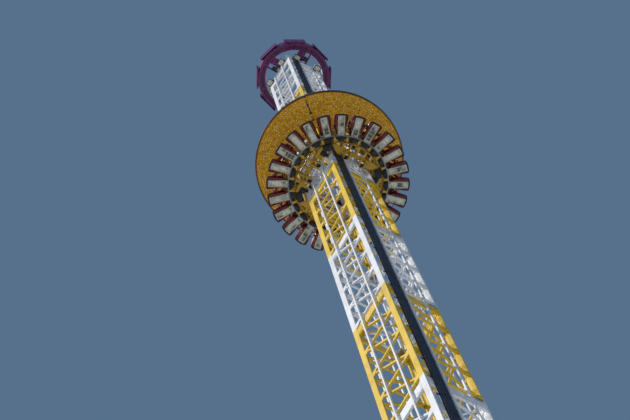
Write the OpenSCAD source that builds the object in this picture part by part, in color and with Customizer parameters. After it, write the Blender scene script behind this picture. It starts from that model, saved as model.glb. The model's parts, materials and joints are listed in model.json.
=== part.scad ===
// Drop tower ride, 1:10 scale model: square lattice mast on an outrigger base,
// a turning ring of outward-facing seats under a round canopy, ring-shaped crown.
// Millimetres, +Z up, origin at the centre of the base plate's underside.
// The mast's faces look along X and Y.

/* [Mast] */
// Half of the mast's outside width
half_w = 100; // [60:1:140]
// Width of a corner column, across the faces that look along X
column_w = 22; // [12:1:40]
// Thickness of a corner column, along X
column_t = 6; // [4:1:24]
// Height of one mast section
section_h = 690; // [400:1:900]
// Number of mast sections
sections = 11; // [3:1:14]
// Height at which the lowest section starts
mast_z = 165; // [100:1:400]
// Bays of bracing in a section
bays = 4; // [2:1:8]
// Height of a bay
bay_h = 160; // [80:1:200]
// Height of the lowest cross bar above a section's foot
first_bar = 16; // [8:1:60]
// Width of a lattice bar
bar_w = 8; // [4:1:20]
// Depth of a lattice bar
bar_d = 7; // [4:1:20]
// How far the bars lie behind the columns' faces
bar_inset = 1; // [0:1:20]
// Height of the heavy beam under a section joint
beam_h = 42; // [10:1:60]

/* [Rails and duct] */
// Distance of a guide rail from the middle of a face
rail_at = 37.5; // [20:0.5:60]
// Width of a guide rail
rail_w = 6; // [4:1:20]
// Depth of a guide rail
rail_d = 6; // [4:1:12]
// How far a rail stands out of the columns' faces
rail_out = 11; // [4:1:30]
// Width of the cable duct
duct_w = 33; // [10:1:40]
// Distance of the duct's outer edge from the middle of its face
duct_at = 75; // [50:1:90]
// How far the duct stands out of the columns' faces
duct_out = 7; // [0:1:10]

/* [Base] */
// Side of the base plate
plate_w = 330; // [200:5:600]
// Thickness of the base plate
plate_t = 12; // [6:1:30]
// Half width of the pedestal
pedestal_half = 118; // [105:1:160]
// Reach of an outrigger from the mast's axis
reach = 520; // [300:10:900]
// Width of an outrigger beam
outrigger_w = 42; // [20:1:80]
// Height of an outrigger beam
outrigger_h = 52; // [20:1:80]

/* [Head] */
// Height of the head frame's posts above the mast
head_h = 44; // [30:1:200]
// Underside of the crown ring
crown_z = 7806; // [7000:1:8000]
// Height of the crown ring
crown_h = 66; // [40:1:200]
// Outer radius of the crown ring
crown_r = 198; // [160:1:260]
// Inner radius of the crown ring
crown_in = 160; // [150:1:220]
// Wall of the crown ring
crown_wall = 6; // [3:1:12]
// Angle of the first sign panel
panel_phase = 17; // [0:1:44]
// Width of a sign panel
panel_w = 116; // [100:1:160]
// Distance of a spoke from the middle of its face
spoke_at = 32; // [0:1:60]
// Distance of the sheave boxes' pair from the middle of its face
sheaves_off = 14; // [0:1:20]

/* [Gondola] */
// Underside of the seats' base plates
seat_z = 5798; // [300:1:7000]
// Number of seats
seats = 24; // [8:1:32]
// Angle of the first seat
seat_phase = 3; // [0:1:15]
// Radius at a seat's inner end
seat_in = 213; // [200:1:240]
// Radius at a seat's outer end
seat_out = 296; // [260:1:330]
// Width of a seat between its wings, at the inner end
seat_w = 44; // [30:1:48]
// How far a seat's pan reaches beyond its plate
seat_lip = 7; // [0:1:15]
// Width of the plate under a seat
under_w = 28; // [15:1:40]
// Underside of the canopy
canopy_z = 6113; // [5950:1:7000]
// Radius of the canopy
canopy_r = 328; // [250:1:400]
// Radius of the canopy's middle opening
canopy_in = 156; // [150:1:180]

/* [Hidden] */
$fn = 48;
mast_top = mast_z + sections * section_h;
// Thickness of the plates on top of the head frame
head_plate = 10;
pitch = 360 / seats;
// Inside and outside of the carriage's square frames
frame_in = 132;
frame_out = 148;
frame_cut_in = 229;
frame_cut_out = 252;
lower_z = seat_z - 8;
upper_z = canopy_z - 75;
frame_h = 16;
race_in = 177;
race_out = 184;
race_h = 10;
beam_in = 189;
beam_out = 198;
beam_z = seat_z + 8;
beam_top = seat_z + 24;
ring_top = seat_z + 14;
latch_h = 18;
latch_w = 25;
post_r = 4;
posts_at = 203;
// The seats' wings: thickness and the angle at which they spread outwards
wing_t = 4;
wing_turn = 3.6;
// The shoulder arms: width, bend, lean of the straight part, and its run from the bend's end
arm_w = 5;
arm_bend = 18;
arm_lean = 10;
arm_tip = 60 * [sin(arm_lean), -cos(arm_lean)];
arm_centre = [seat_in + 6 + arm_bend, seat_z + 114];

// Four copies about the mast, one for each face
module each_face() {
  for (a = [0:90:270]) rotate([0, 0, a]) children();
}

// Copies at the seats' angles
module each_seat() {
  for (i = [0:seats - 1]) rotate([0, 0, seat_phase + i * pitch]) children();
}

// A box given by its low and high corners
module span(low, high) {
  translate(low) cube(high - low);
}

// A ring about the mast's axis, between two heights
module band(r_in, r_out, low, high) {
  difference() {
    translate([0, 0, low]) cylinder(r = r_out, h = high - low);
    translate([0, 0, low - 1]) cylinder(r = r_in, h = high - low + 2);
  }
}

// A flat side drawing (x outwards, y up) stood up across a seat, t thick, centred on y
module side(y, t) {
  translate([0, y + t / 2, 0]) rotate([90, 0, 0]) linear_extrude(height = t) children();
}

module base_plate() {
  color([0.35, 0.36, 0.38])
    translate([-plate_w / 2, -plate_w / 2, 0]) cube([plate_w, plate_w, plate_t]);
}

module outriggers() {
  color([0.92, 0.75, 0.2]) each_face()
    span([pedestal_half, -outrigger_w / 2, plate_t],
         [reach, outrigger_w / 2, plate_t + outrigger_h]);
}

// Each foot is a round pad with a short screw that meets the beam
module outrigger_feet() {
  color([0.35, 0.36, 0.38]) each_face() translate([reach - 30, 0, 0]) {
    cylinder(r = 40, h = 6);
    translate([0, 0, 5]) cylinder(r = 13, h = plate_t - 5);
  }
}

// Upright plates that stiffen each outrigger against the pedestal
module base_gussets() {
  top = mast_z - 14;
  beam = plate_t + outrigger_h;
  color([0.92, 0.75, 0.2]) each_face() for (s = [-1, 1]) side(s * (outrigger_w / 2 - 5), 8)
    polygon([
      [pedestal_half, beam], [pedestal_half + 190, beam], [pedestal_half + 190, beam + 8],
      [pedestal_half + 22, top], [pedestal_half, top]
    ]);
}

// The pedestal's walls, closed by the base plate and its cap
module base_pedestal() {
  wall = 10;
  color([0.92, 0.93, 0.95]) translate([0, 0, plate_t])
    linear_extrude(height = mast_z - 12 - plate_t) difference() {
      square(2 * pedestal_half, center = true);
      square(2 * (pedestal_half - wall), center = true);
    }
}

module pedestal_cap() {
  color([0.92, 0.93, 0.95])
    span([-pedestal_half, -pedestal_half, mast_z - 12],
         [pedestal_half, pedestal_half, mast_z]);
}

// The four corner columns of one section, flat bars that face along X
module section_columns(n) {
  z = mast_z + (n - 1) * section_h;
  for (x = [-half_w, half_w - column_t], y = [-half_w, half_w - column_w])
    translate([x, y, z]) cube([column_t, column_w, section_h]);
}

module columns_white() {
  color([0.93, 0.94, 0.97]) for (n = [1:2:sections]) section_columns(n);
}

module columns_yellow() {
  color([0.92, 0.75, 0.2]) for (n = [2:2:sections]) section_columns(n);
}

// A straight bar of the lattice's flat drawing, between two points
module bar(p, q, w) {
  d = q - p;
  translate(p) rotate(atan2(d[1], d[0])) translate([-w, -w / 2]) square([norm(d) + 2 * w, w]);
}

// The flat drawing of one lattice side: x across the face, y up the mast.
// Cross bars part the bays, the slopes all lean one way, and the top bar is the heavy beam.
module side_drawing(half) {
  top = first_bar + bays * bay_h;
  intersection() {
    translate([-half, 0]) square([2 * half, section_h]);
    union() {
      for (k = [0:bays - 1]) translate([-half, first_bar + k * bay_h - bar_w / 2])
        square([2 * half, bar_w]);
      for (k = [0:bays - 1])
        bar([half, first_bar + k * bay_h], [-half, first_bar + (k + 1) * bay_h], bar_w * 0.85);
      translate([-half, top - beam_h / 2]) square([2 * half, beam_h]);
    }
  }
}

// One side stood up on the face that looks along -Y
module lattice_side(half, depth) {
  rotate([90, 0, 0]) translate([0, 0, half_w - bar_inset - depth])
    linear_extrude(height = depth) side_drawing(half);
}

// The sides along Y pass between the columns' edges, those along X stand between their flats
module section_lattice(n) {
  across = half_w - column_t;
  between = half_w - column_w;
  translate([0, 0, mast_z + (n - 1) * section_h]) {
    for (a = [0, 180]) rotate([0, 0, a]) lattice_side(across, bar_d);
    for (a = [90, 270]) rotate([0, 0, a]) lattice_side(between, bar_d);
  }
}

module lattice_01() { color([0.93, 0.94, 0.97]) section_lattice(1); }
module lattice_02() { color([0.92, 0.75, 0.2]) section_lattice(2); }
module lattice_03() { color([0.93, 0.94, 0.97]) section_lattice(3); }
module lattice_04() { color([0.92, 0.75, 0.2]) section_lattice(4); }
module lattice_05() { color([0.93, 0.94, 0.97]) section_lattice(5); }
module lattice_06() { color([0.92, 0.75, 0.2]) section_lattice(6); }
module lattice_07() { color([0.93, 0.94, 0.97]) section_lattice(7); }
module lattice_08() { color([0.92, 0.75, 0.2]) section_lattice(8); }
module lattice_09() { color([0.93, 0.94, 0.97]) section_lattice(9); }
module lattice_10() { color([0.92, 0.75, 0.2]) section_lattice(10); }
module lattice_11() { color([0.93, 0.94, 0.97]) section_lattice(11); }

// Two rails on each face, held off the lattice by a block at every cross bar
module guide_rails() {
  out = half_w + rail_out;
  color([0.93, 0.94, 0.97]) each_face() for (s = [-1, 1]) {
    span([out - rail_d, s * rail_at - rail_w / 2, mast_z], [out, s * rail_at + rail_w / 2, mast_top]);
    for (n = [0:sections - 1], k = [0:bays]) {
      z = mast_z + n * section_h + first_bar + k * bay_h;
      span([half_w - bar_inset, s * rail_at - rail_w / 2, z - bar_w / 2],
           [out - rail_d + 1, s * rail_at + rail_w / 2, z + bar_w / 2]);
    }
  }
}

// The duct runs up the face that looks along -Y, beside the column
module cable_duct() {
  color([0.08, 0.11, 0.19])
    span([-duct_at, -half_w - duct_out, mast_z], [duct_w - duct_at, bar_inset - half_w, mast_top]);
}

// Posts, beams between them and a cross over them
module head_frame() {
  post = 24;
  beam = 16;
  cross = 20;
  low = half_w - post;
  top = mast_top + head_h;
  color([0.93, 0.94, 0.97]) {
    each_face() translate([low, low, mast_top]) cube([post, post, head_h + 1]);
    translate([0, 0, top - post]) linear_extrude(height = post) difference() {
      square(2 * half_w, center = true);
      square(2 * (half_w - beam), center = true);
    }
    translate([0, 0, top]) linear_extrude(height = head_plate) {
      difference() {
        square(2 * half_w, center = true);
        square(2 * low, center = true);
      }
      square([2 * half_w - beam, cross], center = true);
      square([cross, 2 * half_w - beam], center = true);
    }
  }
}

// What stands on the faces along Y, and mirrored about a corner on those along X
module mirrored_faces() {
  for (a = [0, 180]) rotate([0, 0, a]) {
    rotate([0, 0, -90]) children();
    mirror([1, -1, 0]) rotate([0, 0, -90]) children();
  }
}

// Two housings on each face for the sheaves, rounded over the top
module sheave_boxes() {
  r = 14;
  flat = 16;
  low = mast_top + head_h + 1 - flat - r;
  color([0.82, 0.8, 0.72]) mirrored_faces() for (s = [-1, 1]) side(sheaves_off + s * 64, 32)
    translate([half_w, low]) {
      square([2 * r, flat]);
      square([r, flat + r]);
      translate([r, flat]) circle(r = r);
    }
}

// A channel bent into a ring, open at the top
module crown_ring() {
  color([0.3, 0.07, 0.24]) rotate_extrude() {
    translate([crown_in, crown_z]) square([crown_r - crown_in, crown_wall]);
    translate([crown_in, crown_z]) square([crown_wall, crown_h]);
    translate([crown_r - crown_wall, crown_z]) square([crown_wall, crown_h]);
  }
}

// Spokes from the head frame to the ring, a wide one and a thin one on each face
module crown_spokes() {
  low = mast_top + head_h + 2;
  color([0.3, 0.07, 0.24]) intersection() {
    mirrored_faces() {
      span([half_w, -spoke_at - 19, low], [crown_in + 10, 19 - spoke_at, crown_z + 16]);
      span([half_w, 9, low], [crown_in + 10, 17, crown_z + 10]);
    }
    cylinder(r = crown_in, h = crown_z + 200);
  }
}

// Flat sign panels round the ring, with the stubs that hold them off it
module crown_panels() {
  color([0.3, 0.07, 0.24]) for (a = [0:45:315]) rotate([0, 0, a + panel_phase]) difference() {
    union() {
      span([crown_r + 2, -panel_w / 2, crown_z + 4], [crown_r + 7, panel_w / 2, crown_z + crown_h + 2]);
      for (s = [-1, 1])
        span([crown_r - 14, s * 44 - 3, crown_z + 20], [crown_r + 3, s * 44 + 3, crown_z + 40]);
    }
    cylinder(r = crown_r, h = crown_z + 200);
  }
}

module crown_rod() {
  color([0.93, 0.94, 0.97]) translate([-90, -82, mast_top + head_h + head_plate])
    cylinder(r = 3, h = 60);
}

// A square with cut corners, drawn flat
module cut_square(half, cut) {
  intersection() {
    square(2 * half, center = true);
    rotate(45) square(cut * sqrt(2), center = true);
  }
}

module carriage_frame(z) {
  color([0.85, 0.65, 0.12]) translate([0, 0, z]) linear_extrude(height = frame_h)
    difference() {
      cut_square(frame_out, frame_cut_out);
      cut_square(frame_in, frame_cut_in);
    }
}

module carriage_lower_frame() { carriage_frame(lower_z); }
module carriage_upper_frame() { carriage_frame(upper_z); }

// Two uprights on each side of the carriage
module carriage_posts() {
  color([0.85, 0.65, 0.12]) each_face() for (s = [-1, 1])
    span([frame_in + 1, s * 66 - 6, lower_z + frame_h], [frame_out - 1, s * 66 + 6, upper_z]);
}

// Short arms that carry the races where the frames lie inside them
module race_arms() {
  h = frame_h - 2;
  color([0.85, 0.65, 0.12]) for (z = [lower_z + 2, upper_z]) intersection() {
    each_face() for (y = [-66, 0, 66]) span([frame_out, y - 5, z], [race_out, y + 5, z + h]);
    cylinder(r = race_out - 1, h = upper_z + 100);
  }
}

// Ears hold the wheels: outside the frames for the rails, inside them for the columns
module roller_brackets() {
  color([0.85, 0.65, 0.12]) {
    each_face() for (s = [-1, 1], t = [-1, 1]) {
      y = s * rail_at + t * 10;
      span([frame_in - 17, y - 2, lower_z - 24], [frame_out, y + 2, lower_z]);
      span([frame_in - 17, y - 2, upper_z + frame_h], [frame_out, y + 2, upper_z + frame_h + 24]);
    }
    for (x = [-1, 1], y = [-1, 1], t = [-1, 1], z = [lower_z, upper_z])
      scale([x, y, 1]) span([110, 87 + t * 7.5 - 1.5, z + 1], [frame_in, 87 + t * 7.5 + 1.5, z + frame_h - 1]);
  }
}

// Wheels on axles that run on the rails' outer faces and on the columns' flats
module carriage_rollers() {
  at = half_w + rail_out + 9.6;
  color([0.06, 0.06, 0.07]) {
    each_face() for (s = [-1, 1], z = [lower_z - 12, upper_z + frame_h + 12])
      translate([at, s * rail_at, z]) rotate([90, 0, 0]) {
        cylinder(r = 9, h = 12, center = true);
        cylinder(r = 3, h = 16, center = true);
      }
    for (x = [-1, 1], y = [-1, 1], z = [lower_z, upper_z])
      translate([x * (half_w + 14.6), y * 87, z + frame_h / 2]) rotate([90, 0, 0])
        cylinder(r = 14, h = 12, center = true);
  }
}

// Fixed rings on both frames that the gondola turns about
module bearing_races() {
  color([0.85, 0.65, 0.12]) {
    band(race_in, race_out, lower_z + frame_h, lower_z + frame_h + race_h);
    band(race_in, race_out, upper_z - race_h, upper_z);
  }
}

module bearing_pads() {
  color([0.06, 0.06, 0.07]) for (a = [0:30:330], z = [lower_z + frame_h, upper_z - race_h])
    rotate([0, 0, a + 10]) rotate_extrude(angle = 10)
      translate([race_out, z]) square([4.4, race_h]);
}

// The ring that turns about the lower race
module ring_beam() {
  color([0.85, 0.65, 0.12]) band(beam_in, beam_out, beam_z, beam_top);
}

module seat_ring() {
  color([0.16, 0.16, 0.17]) band(beam_out, seat_in, seat_z, ring_top);
}

// A box under the ring at each seat for its locking gear, with sloped ends
module latch_boxes() {
  color([0.06, 0.06, 0.07]) each_seat() side(0, latch_w)
    polygon([
      [beam_in + 1, seat_z], [beam_in + 1, seat_z - latch_h + 5], [beam_in + 4, seat_z - latch_h],
      [seat_in - 11, seat_z - latch_h], [seat_in - 6, seat_z - latch_h + 8], [seat_in - 6, seat_z]
    ]);
}

// A shallow channel under each seat, open downwards
module seat_base_plates() {
  color([0.85, 0.84, 0.78]) difference() {
    each_seat() difference() {
      span([seat_in - 4, -under_w / 2, seat_z], [seat_out, under_w / 2, seat_z + 5]);
      span([seat_in + 9, 4 - under_w / 2, seat_z - 1], [seat_out - 7, under_w / 2 - 4, seat_z + 2.5]);
    }
    cylinder(r = seat_in, h = seat_z + 100);
  }
}

// The room between a seat's wings, wider towards the front
module between_wings() {
  half = seat_w / 2;
  reach_out = seat_out + seat_lip - seat_in;
  wide = half + reach_out * tan(wing_turn);
  translate([seat_in, 0, seat_z]) linear_extrude(height = 140)
    polygon([[0, -half], [reach_out, -wide], [reach_out, wide], [0, half]]);
}

// A pan with a rounded front edge
module seat_pans() {
  front = seat_out + seat_lip;
  color([0.45, 0.04, 0.07]) each_seat() intersection() {
    side(0, 2 * seat_w) {
      translate([seat_in + 16, seat_z + 5]) square([front - seat_in - 22.5, 13]);
      translate([front - 6.5, seat_z + 11.5]) circle(r = 6.5);
    }
    between_wings();
  }
}

// A leaning back that swells into a headrest
module seat_backs() {
  color([0.45, 0.04, 0.07]) each_seat() intersection() {
    side(0, 2 * seat_w) {
      translate([seat_in, seat_z]) polygon([
        [1, 5], [16, 5], [13, 24], [9, 60], [8, 82], [11, 88], [11, 112], [1, 112]
      ]);
      translate([seat_in + 9, seat_z + 98]) circle(r = 9);
    }
    between_wings();
  }
}

// Side wings that spread outwards, deep at the hips and the head
module seat_bolsters() {
  color([0.35, 0.03, 0.05]) each_seat() for (s = [0, 1]) mirror([0, s, 0])
    translate([seat_in, seat_w / 2, seat_z]) rotate([0, 0, wing_turn]) side(wing_t / 2, wing_t)
      polygon([
        [1, 5], [78, 5], [82, 12], [75, 24], [54, 30], [34, 40], [24, 60], [20, 80],
        [24, 92], [23, 104], [17, 111], [1, 112]
      ]);
}

// Points on an arc about the origin, from angle a to angle b
function arc_points(r, a, b, n) =
  [for (i = [0:n]) r * [cos(a + (b - a) * i / n), sin(a + (b - a) * i / n)]];

// The side drawing of a shoulder arm: up from its hinge, over in an arc, down to the chest
module arm_drawing() {
  outer = arm_bend + arm_w / 2;
  inner = arm_bend - arm_w / 2;
  radial = [cos(arm_lean), sin(arm_lean)];
  polygon(concat(
    [[-outer, -2]], arc_points(outer, 180, arm_lean, 8),
    [outer * radial + arm_tip, inner * radial + arm_tip],
    arc_points(inner, arm_lean, 180, 8), [[-inner, -2]]
  ));
}

module restraint_arms() {
  color([0.1, 0.1, 0.11]) each_seat() for (s = [-1, 1]) side(s * 11, arm_w)
    translate(arm_centre) arm_drawing();
}

// A pad that joins the two arms before the chest, rounded at its lower edge
module restraint_pads() {
  color([0.1, 0.1, 0.11]) each_seat() side(0, 32) translate(arm_centre + arm_tip) rotate(arm_lean)
    translate([arm_bend, 0]) {
      translate([-6.5, -7]) square([13, 7]);
      translate([0, -7]) circle(r = 6.5);
    }
}

// Copies between the seats, at every second gap
module each_gap() {
  for (i = [0:2:seats - 1]) rotate([0, 0, seat_phase + (i + 0.5) * pitch]) children();
}

module each_post() {
  each_gap() translate([posts_at, 0, 0]) children();
}

module canopy_posts() {
  color([0.92, 0.75, 0.2]) each_post() translate([0, 0, ring_top])
    cylinder(r = post_r, h = canopy_z - ring_top);
}

// The upper ring that turns about the upper race, with the posts let into its edge
module canopy_ring() {
  color([0.92, 0.75, 0.2]) difference() {
    band(beam_in, posts_at, upper_z - race_h, upper_z + 2);
    each_post() cylinder(r = post_r, h = canopy_z);
  }
}

// Ribs lie on top of the disc
module canopy_ribs() {
  color([0.92, 0.75, 0.2]) each_gap()
    span([canopy_in + 4, -4, canopy_z + 6], [canopy_r - 8, 4, canopy_z + 18]);
}

module canopy_disc() {
  color([0.7, 0.5, 0.04]) band(canopy_in, canopy_r - 5, canopy_z, canopy_z + 6);
}

module canopy_rim() {
  color([0.32, 0.1, 0.08]) band(canopy_r - 5, canopy_r, canopy_z - 3, canopy_z + 13);
}

base_plate();
outriggers();
outrigger_feet();
base_gussets();
base_pedestal();
pedestal_cap();
columns_white();
columns_yellow();
lattice_01();
lattice_02();
lattice_03();
lattice_04();
lattice_05();
lattice_06();
lattice_07();
lattice_08();
lattice_09();
lattice_10();
lattice_11();
guide_rails();
cable_duct();
head_frame();
sheave_boxes();
crown_ring();
crown_spokes();
crown_panels();
crown_rod();
carriage_lower_frame();
carriage_upper_frame();
carriage_posts();
race_arms();
roller_brackets();
carriage_rollers();
bearing_races();
bearing_pads();
ring_beam();
seat_ring();
latch_boxes();
seat_base_plates();
seat_pans();
seat_backs();
seat_bolsters();
restraint_arms();
restraint_pads();
canopy_posts();
canopy_ring();
canopy_ribs();
canopy_disc();
canopy_rim();
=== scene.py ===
"""The looks of the drop tower ride: procedural materials for the CAD nodes, and the finer pieces on them.

Sizes are in millimetres, as in the CAD, and Build.make turns them into metres.
Places are worked out from the CAD nodes' boxes.
"""

import json
import math
from itertools import product

import bpy
import numpy as np
from mathutils import Matrix, Vector


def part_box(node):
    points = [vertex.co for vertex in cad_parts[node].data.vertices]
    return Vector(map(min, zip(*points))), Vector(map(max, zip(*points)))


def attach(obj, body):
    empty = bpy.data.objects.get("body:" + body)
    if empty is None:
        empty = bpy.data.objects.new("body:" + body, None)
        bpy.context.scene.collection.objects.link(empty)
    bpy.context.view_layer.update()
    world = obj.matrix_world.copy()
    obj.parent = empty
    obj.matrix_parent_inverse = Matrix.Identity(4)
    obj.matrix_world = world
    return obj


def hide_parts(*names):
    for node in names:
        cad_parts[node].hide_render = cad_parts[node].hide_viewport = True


MM = 0.001
SIDES = (-1, 1)

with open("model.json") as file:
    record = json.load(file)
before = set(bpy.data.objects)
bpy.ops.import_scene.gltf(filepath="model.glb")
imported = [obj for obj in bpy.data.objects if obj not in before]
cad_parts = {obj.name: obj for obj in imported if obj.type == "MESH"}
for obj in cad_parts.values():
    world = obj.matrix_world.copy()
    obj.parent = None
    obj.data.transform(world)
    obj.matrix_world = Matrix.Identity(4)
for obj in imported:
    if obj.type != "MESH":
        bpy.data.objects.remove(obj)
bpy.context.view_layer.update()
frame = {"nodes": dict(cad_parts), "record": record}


def low_high(node):
    """The two corners of a CAD node's box, in millimetres."""
    low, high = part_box(node)
    return np.array(low) / MM, np.array(high) / MM


def heights(node):
    """The lowest and the highest z of a CAD node."""
    return [corner[2] for corner in low_high(node)]


def reach_of(node):
    """How far a CAD node goes along X."""
    return low_high(node)[1][0]


# Mast
SECTIONS = 11
BAYS = 4
BAY_H = 160
FIRST_BAR = 16
HALF = reach_of("columns_white")
MAST_FOOT, MAST_TOP = heights("columns_white")
SECTION_H = (MAST_TOP - MAST_FOOT) / SECTIONS
COLUMN_T = 6
COLUMN_W = 22
RAIL_AT = 37.5
RAIL_OUT = reach_of("guide_rails")

# Gondola
SEATS = 24
SEAT_PHASE = 3
GAP_PHASE = SEAT_PHASE + 180 / SEATS
SEAT_IN = 213
SEAT_Z = heights("seat_base_plates")[0]
PLATE_W = 28
PLATE_LENGTH = 83
RING_TOP = heights("seat_ring")[1]
RING_BOLTS = 72
BEAM_IN = 189
LATCH_AT = 199
POSTS = 12
POST_AT = 203
POST_PHASE = GAP_PHASE
CANOPY_Z = heights("canopy_disc")[0]
CANOPY_TOP = CANOPY_Z + 6
CANOPY_R = reach_of("canopy_disc")
CANOPY_IN = 156
SPLIT_GAP = 2

# Carriage
FRAME_OUT = reach_of("carriage_lower_frame")
FRAME_MIDDLE = 140
UPRIGHT_AT = 66
RACE_IN = 177
RACE_BOLTS = 36
LOWER_Z, LOWER_TOP = heights("carriage_lower_frame")
UPPER_Z, UPPER_TOP = heights("carriage_upper_frame")

# Crown
CROWN_Z, CROWN_TOP = heights("crown_ring")
CROWN_R = reach_of("crown_ring")
CROWN_IN = 160
CROWN_WALL = 6
PANELS = 8
PANEL_W = 116
PANEL_Z = np.mean(heights("crown_panels"))
PANEL_H = np.ptp(heights("crown_panels"))
PANEL_PHASE = 17
HEAD_TOP = heights("head_frame")[1]
SHEAVE_Z, SHEAVE_TOP = heights("sheave_boxes")
SHEAVES_AT = (78, -50)
SHEAVE_W = 32
SHEAVE_R = 14

# Base
PEDESTAL_HALF = reach_of("base_pedestal")
PEDESTAL_H = np.ptp(heights("base_pedestal"))
PLATE_HALF = reach_of("base_plate")
PLATE_TOP = heights("base_plate")[1]
REACH = reach_of("outriggers")
OUTRIGGER_TOP = heights("outriggers")[1]
FOOT_AT = REACH - 30


# Forms: each has points as an array and faces as lists of point numbers


def place(x=0, y=0, z=0, turn=0, tilt=0, roll=0):
    """A matrix: roll about X, then tilt about Y, then turn about Z, in degrees, then the shift."""
    spin = (
        Matrix.Rotation(math.radians(turn), 4, "Z")
        @ Matrix.Rotation(math.radians(tilt), 4, "Y")
        @ Matrix.Rotation(math.radians(roll), 4, "X")
    )
    return np.array(Matrix.Translation((x, y, z)) @ spin)


def hand(x=1, y=1, z=1):
    """A matrix that mirrors along each axis whose value is -1."""
    return np.diag((x, y, z, 1.0))


IDENTITY = place()
FACE_DOWN = place(roll=180)
SWAP_XY = np.eye(4)[[1, 0, 2, 3]]
CORNERS = [hand(x, y) for x, y in product(SIDES, SIDES)]


def moved(form, matrix):
    points, faces = form
    if np.linalg.det(matrix[:3, :3]) < 0:
        faces = [face[::-1] for face in faces]
    return points @ matrix[:3, :3].T + matrix[:3, 3], faces


def joined(*forms):
    points, faces, count = [], [], 0
    for form_points, form_faces in forms:
        points.append(form_points)
        faces += [[i + count for i in face] for face in form_faces]
        count += len(form_points)
    return np.concatenate(points), faces


def block(low, high, edge=0.5):
    """A box whose edges are cut back by edge: each corner has three points, one on each of its faces."""
    signs = list(product((0, 1), repeat=3))
    axes = np.arange(3)
    points, faces = [], []

    def corner(axis, *sides):
        """The first point of the corner on these sides of axis and of the two axes after it."""
        return 3 * signs.index(tuple(np.roll(sides, axis)))

    def add_face(face, turned):
        faces.append(face[::-1] if turned else face)

    for n, sign in enumerate(signs):
        for axis in axes:
            points.append(np.where(sign, high, low) + np.where(sign, -edge, edge) * (axes != axis))
        add_face([3 * n, 3 * n + 1, 3 * n + 2], sum(sign) % 2 == 0)
    around = ((0, 0), (1, 0), (1, 1), (0, 1))
    for axis in axes:
        b, c = (axis + 1) % 3, (axis + 2) % 3
        for side in (0, 1):
            add_face([corner(axis, side, *pair) + axis for pair in around], side == 0)
        for pair in around:
            start, end = corner(axis, 0, *pair), corner(axis, 1, *pair)
            add_face([start + b, end + b, end + c, start + c], pair[0] == pair[1])
    return np.array(points), faces


def stack(rings, closed=False):
    """Joins rings of equal length with quads. The ends get caps, unless the stack closes on itself."""
    rings = [np.array(ring, float) for ring in rings]
    size = len(rings[0])
    faces = []
    for k in range(len(rings) if closed else len(rings) - 1):
        a, b = k * size, ((k + 1) % len(rings)) * size
        faces += [[a + i, a + (i + 1) % size, b + (i + 1) % size, b + i] for i in range(size)]
    if not closed:
        faces.append(list(range(size))[::-1])
        faces.append([(len(rings) - 1) * size + i for i in range(size)])
    return np.concatenate(rings), faces


def steps_round(sides, start=0.0):
    return [2 * math.pi * (i + start) / sides for i in range(sides)]


def circle(radius, height, sides, start=0.0):
    steps = steps_round(sides, start)
    return np.array([(radius * math.cos(a), radius * math.sin(a), height) for a in steps])


def lathe(profile, sides=24, closed=False):
    """Turns (radius, height) pairs about Z, from the lowest up, or round a closed section."""
    return stack([circle(radius, height, sides) for radius, height in profile], closed)


def hoop(r_in, r_out, low, high):
    """A flat ring about Z with a square-edged section."""
    return lathe([(r_in, low), (r_out, low), (r_out, high), (r_in, high)], 144, True)


def bead(radius, height, thick, steps, sides):
    """A ring about Z with a round section."""
    return lathe([(radius + x, height + y) for x, y, _ in circle(thick, 0, steps)], sides, True)


def prism(outline, low, high):
    """A flat outline, anticlockwise, raised from low to high."""
    return stack([[(x, y, z) for x, y in outline] for z in (low, high)])


def slab(outline, low, high, edge):
    """A raised outline whose rims are drawn in towards its middle by about edge."""
    outline = np.array(outline, float)
    middle = outline.mean(axis=0)
    reach = np.linalg.norm(outline - middle, axis=1, keepdims=True)
    inner = middle + (outline - middle) * (1 - edge / reach)
    levels = ((inner, low), (outline, low + edge), (outline, high - edge), (inner, high))
    return stack([np.column_stack([ring, np.full(len(ring), z)]) for ring, z in levels])


def rod(start, end, radius, sides=12, edge=0.3):
    """A round bar between two points, with its ends' edges cut back."""
    start, line = Vector(start), Vector(end) - Vector(start)
    neck, length = radius - edge, line.length
    profile = [(neck, 0), (radius, edge), (radius, length - edge), (neck, length)]
    along = Matrix.Translation(start) @ line.to_track_quat("Z", "Y").to_matrix().to_4x4()
    return moved(lathe(profile, sides), np.array(along))


def sweep(path, radius, sides=10):
    """A round tube along a path of points. radius is a number, or a list with one for each point."""
    path = [Vector(point) for point in path]
    normal = (path[1] - path[0]).orthogonal().normalized()
    rings = []
    for i, point in enumerate(path):
        ahead = path[min(i + 1, len(path) - 1)] - path[max(i - 1, 0)]
        ahead.normalize()
        normal = (normal - ahead * normal.dot(ahead)).normalized()
        other = ahead.cross(normal)
        r = radius[i] if isinstance(radius, list) else radius
        steps = steps_round(sides)
        rings.append([point + normal * (r * math.cos(a)) + other * (r * math.sin(a)) for a in steps])
    return stack(rings)


def closed_tube(path, radius, sides):
    """A round tube along a flat path that closes on itself."""
    path = np.array(path, float)
    up = np.array((0, 0, radius))
    rings = []
    for k, point in enumerate(path):
        ahead = path[(k + 1) % len(path)] - path[k - 1]
        across = np.cross(ahead / np.linalg.norm(ahead), up)
        rings.append([point + math.cos(a) * across + math.sin(a) * up for a in steps_round(sides)])
    return stack(rings, closed=True)


def rounded(half_x, half_y, corner, steps=4):
    """A rectangle with round corners about the origin, anticlockwise."""
    outline = []
    for k, (x, y) in enumerate(((1, 1), (-1, 1), (-1, -1), (1, -1))):
        centre = (x * (half_x - corner), y * (half_y - corner))
        for i in range(steps + 1):
            angle = math.radians(90 * (k + i / steps))
            outline.append((centre[0] + corner * math.cos(angle), centre[1] + corner * math.sin(angle)))
    return outline


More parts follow.
